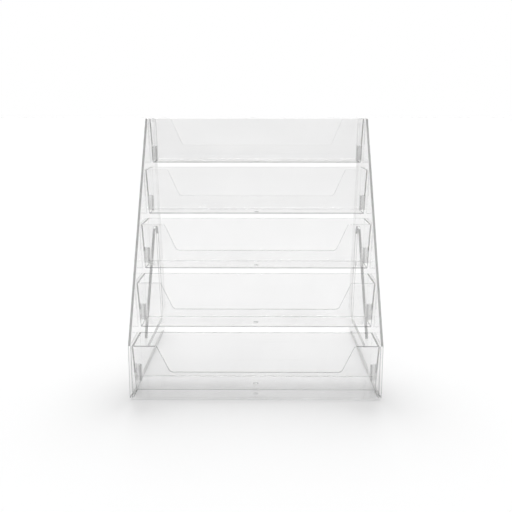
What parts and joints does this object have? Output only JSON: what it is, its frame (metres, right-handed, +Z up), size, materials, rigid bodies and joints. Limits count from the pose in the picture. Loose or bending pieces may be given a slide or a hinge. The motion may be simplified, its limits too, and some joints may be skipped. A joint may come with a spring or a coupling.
{
  "type": "magazine rack",
  "caption": "Clear plastic countertop magazine rack: open pockets with notched fronts climb in tiers between two side panels with triangular cut-outs.",
  "frame": {"origin": "centre of the rack's bounding box on the table surface it stands on", "axes": "+Z up, the pockets' notched fronts face -Y, and +X is to the right of a person who faces the front"},
  "size_m": [0.2418, 0.2468, 0.2658],
  "materials": {
    "panel_plastic": "polished",
    "pocket_plastic": "polished",
    "strip_plastic": "polished"
  },
  "bodies": {
    "root": {"side_panel_left": "panel_plastic", "side_panel_right": "panel_plastic", "pocket_1": "pocket_plastic", "pocket_2": "pocket_plastic", "pocket_3": "pocket_plastic", "pocket_4": "pocket_plastic", "pocket_5": "pocket_plastic", "base_strip": "strip_plastic"}
  },
  "joints": []
}
